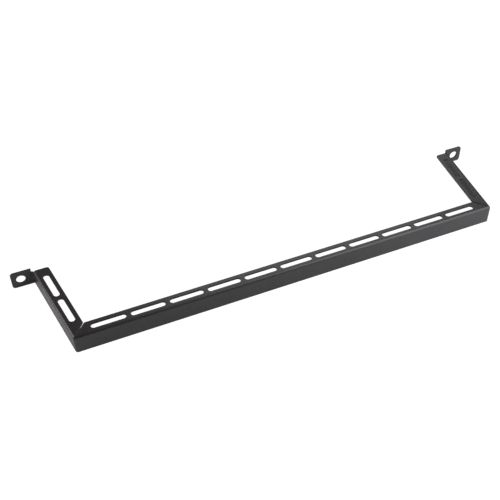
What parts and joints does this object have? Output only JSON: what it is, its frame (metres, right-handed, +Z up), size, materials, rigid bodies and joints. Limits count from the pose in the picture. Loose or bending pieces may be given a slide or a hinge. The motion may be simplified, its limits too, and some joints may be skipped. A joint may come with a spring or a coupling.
{
  "type": "cable lacing bar",
  "caption": "Folded black steel bar with a slotted flange, splayed slotted arms and ears that bolt to a rack's rails, so that cables can be tied to it.",
  "frame": {"origin": "midway between the two rail holes, on the ears' back face", "axes": "+X along the bar, +Y from the bar back to the rail that the ears bolt to, +Z up through the slotted flange"},
  "size_m": [0.4826, 0.1, 0.0182],
  "materials": {
    "black_powder_coat": "black powder coat on sheet steel, low sheen with a fine grain"
  },
  "bodies": {
    "root": {"lacing_bar": "black_powder_coat"}
  },
  "joints": []
}
